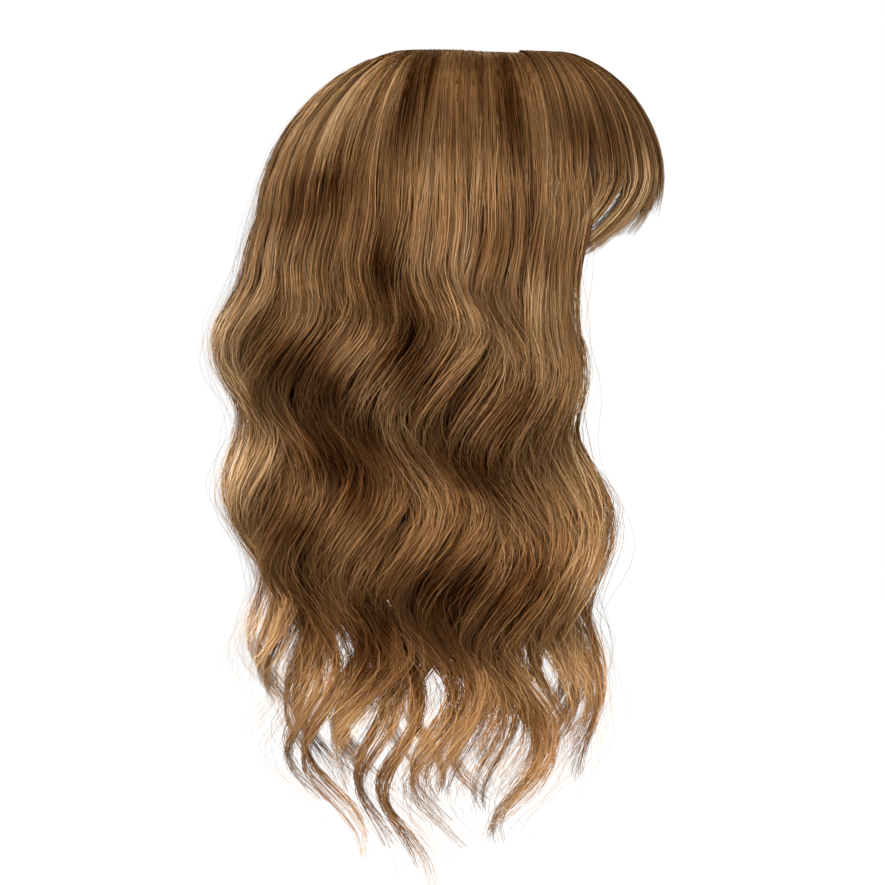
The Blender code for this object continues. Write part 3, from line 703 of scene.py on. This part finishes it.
def bangs_strands(count, rng):
    """Strands of the bangs, which fan out over the forehead and curl back at their tips."""
    def each(low, high):
        return rng.uniform(low, high, (count, 1))

    # Each strand leans to a clump that lies near it
    clumps = np.sort(rng.uniform(-BANGS_HALF_ANGLE, BANGS_HALF_ANGLE, BANGS_CLUMPS))
    wanted = each(-BANGS_HALF_ANGLE, BANGS_HALF_ANGLE)
    pull = np.abs(wanted - clumps[None, :]) + rng.uniform(0, 2.5, (count, BANGS_CLUMPS))
    chosen = np.argmin(pull, axis=1)
    nearest = clumps[chosen][:, None]

    def per_clump(spread):
        return rng.normal(0, spread, BANGS_CLUMPS)[chosen][:, None]

    outer = np.abs(nearest) / BANGS_HALF_ANGLE
    end_drop = BANGS_MIDDLE_DROP + BANGS_SIDE_DROP * ramp(outer, 0.08, 0.48) + per_clump(0.003)
    end_drop = end_drop - 0.016 * each(0, 1) ** 1.7
    start = np.where(each(0, 1) < 0.5, 0.0, each(0, 0.35))
    end = 1 + (end_drop - BANGS_LEVEL) / BANGS_DROP
    share = np.linspace(0, 1, BANGS_POINTS)[None, :]
    run = start + (end - start) * share
    gather = ramp(run, 0.7, 1.45) * 0.72
    angle = wanted + (nearest - wanted) * gather
    for slit, half_gap in BANGS_SLITS:
        away = angle - slit
        aside = np.sign(away) * np.exp(-((away / (2 * half_gap)) ** 2))
        angle = angle + half_gap * aside * ramp(run, 0.92, 1.15)
    level = each(0.0, 1.0) ** 1.5
    depth = ROOT_DEPTH + ROOT_DEPTH_MORE * each(0, 1) + 0.45 * level * ramp(run, *CROWN_DEPTH_RUN)
    aside = np.abs(wanted) / BANGS_HALF_ANGLE
    depth = depth + BANGS_DIP * (1 - ramp(run, 0.02 + 0.02 * aside, 0.16 + 0.10 * aside))
    depth = 1 - (1 - depth) * ramp(run, start - 0.001, start + ROOT_RISE)
    here, around, out, _ = frames(bangs_points, np.radians(angle), np.maximum(run, 0.002), depth)
    stray = 2 * STRAY * ramp(run, 0.5, 1.4)
    sideways = stray * np.sin(TURN * (run * each(0.4, 1.2) + each(0, 1)))
    outward = stray * np.sin(TURN * (run * each(0.4, 1.2) + each(0, 1)))
    points = here + around * sideways[..., None] + out * outward[..., None]
    tone = np.clip(per_clump(0.20) + rng.normal(0.0, STRAND_TONE, (count, 1)), -1, 1)
    widths = STRAND_WIDTH * each(0.7, 1.15) * (1 - 0.75 * ramp(share, 0.75, 1.0))
    # Painted light of the bangs: painted shade on deeper strands and below the part, painted highlights
    # at the part and the tips, and the accents' painted shade and highlights
    light = (0.56 + 0.30 * ramp(run, 0.0, 0.95)) * (1 - 0.35 * level)
    light = light * (2.2 - 1.2 * ramp(run, 0.03, 0.22))
    light = light * (1 + 0.25 * ramp(share, 0.7, 1.0)) * accents_at(points, BANGS_PAINTED_LIGHT, 0.0, rng)
    along = np.clip(run / 2.2, 0, 1)
    return Strands(points, out, widths + 0 * run, tone + 0 * run, along, light, chosen)


def write_points(mesh, label, values):
    """Store one number for each point of a mesh."""
    attribute = mesh.attributes.new(label, "FLOAT", "POINT")
    attribute.data.foreach_set("value", values.astype(np.float32).ravel())


def strand_mesh(name, strands, rng):
    """Flat strips along the strands, whose normals are tilted to either side as on a round hair."""
    points, out = strands.points, strands.out
    count, length = points.shape[:2]
    tangent = unit(np.gradient(points, axis=1))
    across = unit(np.cross(tangent, out))
    facing = np.cross(across, tangent)
    rolled = rng.uniform(-STRAND_ROLL, STRAND_ROLL, (count, 1))
    rolled = rolled + rng.uniform(-0.5, 0.5, (count, 1)) * strands.along
    cos, sin = np.cos(rolled)[..., None], np.sin(rolled)[..., None]
    side = across * cos + facing * sin
    normal = facing * cos - across * sin
    half = strands.width[..., None] / 2
    corners = np.stack([points - side * half, points + side * half], 2)
    tilt, level = math.sin(NORMAL_TILT), math.cos(NORMAL_TILT)
    normals = np.stack([normal * level - side * tilt, normal * level + side * tilt], 2)
    grid = np.arange(count * length * 2, dtype=np.int32).reshape(count, length, 2)
    quads = np.stack([grid[:, :-1, 0], grid[:, :-1, 1], grid[:, 1:, 1], grid[:, 1:, 0]], -1)
    quads = quads.reshape(-1, 4)

    mesh = bpy.data.meshes.new(name)
    mesh.vertices.add(count * length * 2)
    mesh.vertices.foreach_set("co", corners.astype(np.float32).ravel())
    mesh.loops.add(quads.size)
    mesh.loops.foreach_set("vertex_index", quads.ravel())
    mesh.polygons.add(len(quads))
    mesh.polygons.foreach_set("loop_start", np.arange(0, quads.size, 4, dtype=np.int32))
    mesh.update()
    mesh.shade_smooth()
    for label, values in (("tone", strands.tone), ("along", strands.along), ("shade", strands.shade)):
        write_points(mesh, label, np.repeat(values[..., None], 2, axis=2))
    add_stripes(mesh, strands, quads)
    mesh.normals_split_custom_set_from_vertices(normals.reshape(-1, 3))
    mesh.validate()
    return mesh


def add_stripes(mesh, strands, quads):
    """A map with one upright stripe for each strand, lock by lock in the order of their tones."""
    count = len(strands.tone)
    rank = np.empty(count, int)
    rank[np.lexsort((strands.tone[:, 0], strands.group))] = np.arange(count)
    left = (rank / count)[:, None] + 0 * strands.along
    right = left + MAP_STRIPE / count
    places = np.stack([np.stack([left, strands.along], -1), np.stack([right, strands.along], -1)], 2)
    stripes = mesh.uv_layers.new(name="OFBake")
    stripes.data.foreach_set("uv", places.reshape(-1, 2)[quads.ravel()].astype(np.float32).ravel())


def shell_mesh(name, outer, inner, angle, run):
    """A closed shell between two equal grids of points, rows down it and columns round it."""
    rows, columns = outer.shape[:2]
    points = np.concatenate([outer.reshape(-1, 3), inner.reshape(-1, 3)])
    grid = np.arange(rows * columns).reshape(rows, columns)
    back = grid + rows * columns
    front_faces = np.stack([grid[:-1, :-1], grid[1:, :-1], grid[1:, 1:], grid[:-1, 1:]], -1)
    back_faces = np.stack([back[:-1, :-1], back[:-1, 1:], back[1:, 1:], back[1:, :-1]], -1)
    faces = [front_faces.reshape(-1, 4), back_faces.reshape(-1, 4)]
    for edge, far in ((grid[0], back[0]), (grid[-1][::-1], back[-1][::-1]),
                      (grid[::-1, 0], back[::-1, 0]), (grid[:, -1], back[:, -1])):
        faces.append(np.stack([edge[:-1], edge[1:], far[1:], far[:-1]], -1))
    mesh = bpy.data.meshes.new(name)
    mesh.from_pydata(points.tolist(), [], np.concatenate(faces).tolist())
    mesh.validate()
    mesh.update()
    mesh.shade_smooth()
    for label, values in (("around", angle), ("down", run)):
        write_points(mesh, label, np.concatenate([values.ravel(), values.ravel()]))
    return mesh


def core_mesh(name, locks, side, rng):
    """The inner body of one side's hair, dark with painted shade: a ridged, waved wall with a ragged
    lower edge.
    """
    columns, rows = 110, 84
    ridge_degrees, tooth_degrees = 6.3, 8.3
    teeth_share = 0.2
    top_run = 0.06
    angle = np.radians(np.linspace(HAIR_FRONT_ANGLE + 4, 179.8, columns))[None, :]
    degrees = np.degrees(angle)
    share = np.linspace(0, 1, rows)[:, None]
    teeth = (1 - np.abs(np.sin(degrees * math.pi / tooth_degrees))) ** 1.4
    # The rows lie level down to where the teeth begin, so that the waves don't fold the wall
    level = 1 + 0.60 - 0.12 * ramp(degrees, 120, 180) - CROWN_LEVEL / HAIR_DROP
    last = level + 0.03 + 0.10 * teeth
    last = last + 0.02 * np.interp(degrees, np.linspace(55, 180, 12), rng.uniform(-1, 1, 12))
    above = 1 - teeth_share
    run = np.where(share < above, top_run + (level - top_run) * share / above,
                   level + (last - level) * (share - above) / teeth_share)
    angle = angle + 0 * run
    ridges = np.abs(np.sin(np.degrees(angle) * math.pi / ridge_degrees + 1.4 * np.sin(run * 3.0)))
    thin = ramp(share, above, 1.0)
    grow = ramp(run, top_run, 0.45)
    outer_depth = 0.97 - (0.97 - (0.60 - 0.17 * ridges * ramp(run, 0.2, 0.9))) * grow
    inner_depth = 0.99 + (0.04 * ramp(run, 1.0, 1.3)) * (1 - thin)
    outer_depth = outer_depth + (inner_depth - 0.06 - outer_depth) * thin * 0.5
    calmer = 0.8
    sheets = []
    for depth in (outer_depth, inner_depth):
        here, around, out, _ = frames(long_points, angle, run, depth)
        drop = -here[..., 2]
        strength = ramp(drop, WAVE_START, WAVE_FULL) * calmer
        length, turns = wave_of(locks, angle)
        turn = TURN * (drop / length + turns)
        sideways = WAVE_SIDEWAYS * strength * ramp(math.pi - angle, 0.0, SEAM_WIDTH)
        here = here + around * (sideways * np.sin(turn))[..., None]
        here = here + out * (WAVE_OUTWARD * calmer * strength * np.cos(turn))[..., None]
        here[..., 1] = here[..., 1] * side
        sheets.append(here)
    if side < 0:
        sheets = [sheet[:, ::-1] for sheet in sheets]
        angle, run = angle[:, ::-1], run[:, ::-1]
    return shell_mesh(name, *sheets, angle, run)


def bangs_core_mesh(name):
    """The inner body of the bangs, dark with painted shade, which ends above their wispy tips and in a
    notch by the slits.
    """
    columns, rows = 70, 40
    half_angle = 53
    ridge_degrees, tooth_degrees = 4.4, 7.0
    notch_middle, notch_half = 34, 10
    top_run = 0.06
    angle = np.radians(np.linspace(-half_angle, half_angle, columns))[None, :]
    degrees = np.degrees(angle)
    share = np.linspace(0, 1, rows)[:, None]
    teeth = np.abs(np.sin(degrees * math.pi / tooth_degrees)) ** 0.7
    end_drop = 0.058 + 0.012 * teeth + 0.016 * (np.abs(degrees) / half_angle) ** 1.5
    notch = 1 - (1 - np.exp(-(((np.abs(degrees) - notch_middle) / notch_half) ** 4))) ** 2
    end_drop = end_drop + (0.046 - end_drop) * notch
    end = 1 + (end_drop - BANGS_LEVEL) / BANGS_DROP
    run = top_run + (end - top_run) * share
    angle = angle + 0 * run
    ridges = np.abs(np.sin(np.degrees(angle) * math.pi / ridge_degrees + 0.8 * np.sin(run * 4)))
    thin = ramp(share, 0.75, 1.0)
    outer_depth = 0.97 - (0.97 - (0.42 - 0.14 * ridges * ramp(run, 0.2, 0.8))) * ramp(run, top_run, 0.5)
    inner_depth = np.full_like(run, 0.97)
    outer_depth = outer_depth + (0.90 - outer_depth) * thin * 0.4
    sheets = [bangs_points(angle, run, depth) for depth in (outer_depth, inner_depth)]
    return shell_mesh(name, *sheets, angle, run)


def nodes_of(owner):
    owner.use_nodes = True
    return owner.node_tree.nodes, owner.node_tree.links


def new_material(name):
    """A material with its nodes, its links and its shader."""
    made = bpy.data.materials.new(name)
    nodes, links = nodes_of(made)
    return made, nodes, links, nodes["Principled BSDF"]


def attribute_node(nodes, label):
    made = nodes.new("ShaderNodeAttribute")
    made.attribute_name = label
    return made


def math_node(nodes, operation, *values):
    """A math node whose inputs after the first have these values."""
    made = nodes.new("ShaderNodeMath")
    made.operation = operation
    for index, value in enumerate(values):
        made.inputs[index + 1].default_value = value
    return made


def noise_node(nodes, scale, detail):
    made = nodes.new("ShaderNodeTexNoise")
    made.inputs["Scale"].default_value = scale
    made.inputs["Detail"].default_value = detail
    return made


def range_node(nodes, start, full, low=0.0, high=1.0, smooth=False):
    """Turns values from start to full into values from low to high."""
    made = nodes.new("ShaderNodeMapRange")
    if smooth:
        made.interpolation_type = "SMOOTHSTEP"
    names = ("From Min", "From Max", "To Min", "To Max")
    for name, value in zip(names, (start, full, low, high)):
        made.inputs[name].default_value = value
    return made


def colour_node(nodes, stops):
    made = nodes.new("ShaderNodeValToRGB")
    elements = made.color_ramp.elements
    while len(elements) < len(stops):
        elements.new(0.5)
    for element, (place, colour) in zip(elements, stops):
        element.position = place
        element.color = (*colour, 1.0)
    return made


def mix_node(nodes):
    made = nodes.new("ShaderNodeMix")
    made.data_type = "RGBA"
    return made


def add_bump(nodes, links, height, shader, strength, distance):
    bump = nodes.new("ShaderNodeBump")
    bump.inputs["Strength"].default_value = strength
    bump.inputs["Distance"].default_value = distance
    links.new(height, bump.inputs["Height"])
    links.new(bump.outputs["Normal"], shader.inputs["Normal"])


def hair_material():
    """Brown hair: each strand has its own tone and is caramel at the tip, times its painted light and
    shade, which is darker below the part.
    """
    made, nodes, links, shader = new_material("brown_hair")
    tone = attribute_node(nodes, "tone")
    along = attribute_node(nodes, "along")
    shade = attribute_node(nodes, "shade")

    # Slow changes along each strand, which start at a place of its own
    stretch = math_node(nodes, "MULTIPLY", 9.0)
    links.new(tone.outputs["Fac"], stretch.inputs[0])
    place = nodes.new("ShaderNodeCombineXYZ")
    links.new(stretch.outputs[0], place.inputs[0])
    links.new(along.outputs["Fac"], place.inputs[1])
    noise = noise_node(nodes, 5.0, 3.0)
    links.new(place.outputs[0], noise.inputs["Vector"])
    lift = math_node(nodes, "MULTIPLY_ADD", 0.42, 0.31)
    links.new(tone.outputs["Fac"], lift.inputs[0])
    vary = math_node(nodes, "MULTIPLY_ADD", 0.36)
    links.new(noise.outputs["Fac"], vary.inputs[0])
    links.new(lift.outputs[0], vary.inputs[2])

    tones = colour_node(nodes, HAIR_TONES)
    tips = colour_node(nodes, TIP_TONES)
    near_tip = range_node(nodes, 0.62, 0.95, smooth=True)
    mixed = mix_node(nodes)
    links.new(vary.outputs[0], tones.inputs["Fac"])
    links.new(vary.outputs[0], tips.inputs["Fac"])
    links.new(along.outputs["Fac"], near_tip.inputs["Value"])
    links.new(near_tip.outputs["Result"], mixed.inputs["Factor"])
    links.new(tones.outputs["Color"], mixed.inputs["A"])
    links.new(tips.outputs["Color"], mixed.inputs["B"])

    # The painted shade takes more of the green and blue than of the red, as between hairs
    shades = nodes.new("ShaderNodeCombineXYZ")
    for index, power in enumerate(SHADE_POWERS):
        channel = math_node(nodes, "POWER", power)
        links.new(shade.outputs["Fac"], channel.inputs[0])
        links.new(channel.outputs[0], shades.inputs[index])
    darkened = nodes.new("ShaderNodeVectorMath")
    darkened.operation = "MULTIPLY"
    links.new(mixed.outputs["Result"], darkened.inputs[0])
    links.new(shades.outputs["Vector"], darkened.inputs[1])
    links.new(darkened.outputs["Vector"], shader.inputs["Base Color"])

    # A partly metallic shader without a dielectric layer has warm highlights and no grey edges
    shader.inputs["Metallic"].default_value = 0.40
    shader.inputs["Roughness"].default_value = 0.42
    shader.inputs["Specular IOR Level"].default_value = 0.0
    shader.inputs["Specular Tint"].default_value = (0.70, 0.58, 0.45, 1.0)
    return made


def core_material():
    """Hair in fine streaks that run down the locks, painted dark as the shade under and between the
    strands.
    """
    made, nodes, links, shader = new_material("inner_hair_painted_shade")
    place = nodes.new("ShaderNodeCombineXYZ")
    for index, (label, scale) in enumerate((("around", 260.0), ("down", 6.0))):
        stretch = math_node(nodes, "MULTIPLY", scale)
        links.new(attribute_node(nodes, label).outputs["Fac"], stretch.inputs[0])
        links.new(stretch.outputs[0], place.inputs[index])
    noise = noise_node(nodes, 1.0, 4.0)
    links.new(place.outputs[0], noise.inputs["Vector"])
    tones = colour_node(nodes, CORE_TONES)
    links.new(noise.outputs["Fac"], tones.inputs["Fac"])
    links.new(tones.outputs["Color"], shader.inputs["Base Color"])
    add_bump(nodes, links, noise.outputs["Fac"], shader, 0.8, 0.0006)
    shader.inputs["Roughness"].default_value = 0.5
    shader.inputs["Specular IOR Level"].default_value = 0.3
    return made


def net_material():
    """Brown tulle: threads round the small cells of a fine net, over a darker ground."""
    made, nodes, links, shader = new_material("base_net")
    place = nodes.new("ShaderNodeTexCoord")
    cells = nodes.new("ShaderNodeTexVoronoi")
    cells.feature = "DISTANCE_TO_EDGE"
    cells.inputs["Scale"].default_value = 620.0
    cells.inputs["Randomness"].default_value = 0.25
    links.new(place.outputs["Object"], cells.inputs["Vector"])
    thread = range_node(nodes, 0.05, 0.22, 1.0, 0.0, smooth=True)
    links.new(cells.outputs["Distance"], thread.inputs["Value"])
    tones = colour_node(nodes, NET_TONES)
    links.new(thread.outputs["Result"], tones.inputs["Fac"])
    links.new(tones.outputs["Color"], shader.inputs["Base Color"])
    add_bump(nodes, links, thread.outputs["Result"], shader, 0.7, 0.0004)
    shader.inputs["Roughness"].default_value = 0.72
    return made


def comb_material():
    """Dark brown coating on spring steel, a little uneven and rubbed along its edges."""
    made, nodes, links, shader = new_material("comb_coating")
    place = nodes.new("ShaderNodeTexCoord")
    noise = noise_node(nodes, 900.0, 4.0)
    links.new(place.outputs["Object"], noise.inputs["Vector"])
    tones = colour_node(nodes, COMB_TONES)
    links.new(noise.outputs["Fac"], tones.inputs["Fac"])
    edges = nodes.new("ShaderNodeNewGeometry")
    worn = range_node(nodes, 0.53, 0.60)
    links.new(edges.outputs["Pointiness"], worn.inputs["Value"])
    mixed = mix_node(nodes)
    links.new(worn.outputs["Result"], mixed.inputs["Factor"])
    links.new(tones.outputs["Color"], mixed.inputs["A"])
    mixed.inputs["B"].default_value = COMB_WORN
    links.new(mixed.outputs["Result"], shader.inputs["Base Color"])
    rough = range_node(nodes, 0.0, 1.0, 0.30, 0.46)
    links.new(noise.outputs["Fac"], rough.inputs["Value"])
    links.new(rough.outputs["Result"], shader.inputs["Roughness"])
    add_bump(nodes, links, noise.outputs["Fac"], shader, 0.25, 0.0002)
    return made


def dress(node, material):
    """A CAD node keeps its shape and takes a better material."""
    thing = bpy.data.objects[node]
    if not thing.material_slots:
        thing.data.materials.append(material)
    for slot in thing.material_slots:
        slot.material = material


def piece(name, mesh, material):
    """A shown object of hair that rides on the topper's one body."""
    thing = bpy.data.objects.new(name, mesh)
    bpy.context.scene.collection.objects.link(thing)
    mesh.materials.clear()
    mesh.materials.append(material)
    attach(thing, "root")
    return thing


def inner_locks(rng, outer):
    """Locks of the inner layer, which wave with the outer locks that they lie under."""
    locks = []
    angle = INNER_FIRST
    while angle < INNER_LAST:
        length, turns = wave_of(outer, math.radians(angle))
        shorter_behind = 1 - 0.16 * float(ramp(angle, 120, 180))
        locks.append(Lock(angle, rng.uniform(-2, 2), rng.uniform(0.024, 0.030),
                          INNER_DROP * rng.uniform(0.90, 1.06) * shorter_behind,
                          INNER_DEPTH * rng.uniform(0.9, 1.1), float(length),
                          float(turns) + rng.uniform(-0.04, 0.04), rng.uniform(0.85, 1.05),
                          rng.uniform(-0.4, 0.1)))
        angle += INNER_STEP * rng.uniform(0.85, 1.15)
    return locks


def make_hair():
    hair = hair_material()
    dark = core_material()
    for side, word, outer in ((-1, "right", RIGHT_OUTER), (1, "left", LEFT_OUTER)):
        rng = np.random.default_rng(41 + side)
        inner = inner_locks(rng, outer)
        for layer, locks in ((OUTER_LAYER, outer), (MIDDLE_LAYER, inner), (LOOSE_LAYER, outer)):
            name = f"{word}_locks_{layer.name}"
            piece(name, strand_mesh(name, long_strands(locks, layer, side, rng), rng), hair)
        body = piece(f"{word}_hair_body", core_mesh(f"{word}_hair_body", outer, side, rng), dark)
        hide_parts(f"hair_{word}")
    rng = np.random.default_rng(7)
    piece("bangs_strands", strand_mesh("bangs_strands", bangs_strands(BANGS_COUNT, rng), rng), hair)
    body = piece("bangs_body", bangs_core_mesh("bangs_body"), dark)
    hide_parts("bangs")


def make_camera():
    """A long lens square to the wearer's right side, framed as the photograph."""
    centre_x = (FRAME_SIDE / 2 - ORIGIN_PX[0]) * METRES_PER_PIXEL
    centre_z = (ORIGIN_PX[1] - FRAME_SIDE / 2) * METRES_PER_PIXEL
    target = Vector((centre_x, 0.0, centre_z))
    data = bpy.data.cameras.new("camera")
    data.lens = LENS_MM
    data.sensor_width = SENSOR_MM
    distance = FRAME_SIDE * METRES_PER_PIXEL * LENS_MM / SENSOR_MM
    tilt = math.radians(CAMERA_TILT)
    camera = bpy.data.objects.new("camera", data)
    camera.location = target + Vector((0, -math.cos(tilt), math.sin(tilt))) * distance
    camera.rotation_euler = (target - camera.location).to_track_quat("-Z", "Y").to_euler()
    bpy.context.scene.collection.objects.link(camera)
    bpy.context.scene.camera = camera


def area_light(row):
    """A square soft light that faces the middle of the hair."""
    data = bpy.data.lights.new(row.name, "AREA")
    data.shape = "SQUARE"
    data.size = row.size
    data.energy = row.watts
    light = bpy.data.objects.new(row.name, data)
    light.location = row.place
    towards = Vector((0, 0, HAIR_MIDDLE)) - Vector(row.place)
    light.rotation_euler = towards.to_track_quat("-Z", "Y").to_euler()
    bpy.context.scene.collection.objects.link(light)


def make_surround():
    """An even white surround, which lights surfaces less than the camera sees it."""
    world = bpy.data.worlds.new("white_room")
    bpy.context.scene.world = world
    nodes, links = nodes_of(world)
    background = nodes["Background"]
    background.inputs["Color"].default_value = (1, 1, 1, 1)
    seen = nodes.new("ShaderNodeLightPath")
    power = range_node(nodes, 0.0, 1.0, SURROUND_LIGHT, 1.0)
    links.new(seen.outputs["Is Camera Ray"], power.inputs["Value"])
    links.new(power.outputs["Result"], background.inputs["Strength"])


def make_floor():
    """A pale floor under the tips, which gives no light of its own to the hair."""
    mesh = bpy.data.meshes.new("floor")
    half = FLOOR_HALF
    corners = [(-half, -half, 0), (half, -half, 0), (half, half, 0), (-half, half, 0)]
    mesh.from_pydata(corners, [], [(0, 1, 2, 3)])
    floor = bpy.data.objects.new("floor", mesh)
    floor.location = (0, 0, FLOOR_LEVEL)
    floor.visible_diffuse = False
    floor.visible_glossy = False
    bpy.context.scene.collection.objects.link(floor)
    paint, _, _, shader = new_material("pale_floor")
    shader.inputs["Base Color"].default_value = (0.05, 0.05, 0.05, 1)
    shader.inputs["Roughness"].default_value = 0.9
    shader.inputs["Specular IOR Level"].default_value = 0.0
    shader.inputs["Emission Color"].default_value = (1, 1, 1, 1)
    shader.inputs["Emission Strength"].default_value = 0.99
    mesh.materials.append(paint)


def make_studio():
    """A white room with a pale floor and soft lights on all sides."""
    for row in LIGHTS:
        area_light(row)
    make_surround()
    make_floor()
    bpy.context.scene.view_settings.view_transform = "Standard"


make_camera()
make_studio()
make_hair()
dress("base_cap", net_material())
coating = comb_material()
for place in ("front", "back", "left", "right"):
    dress(f"clip_{place}", coating)
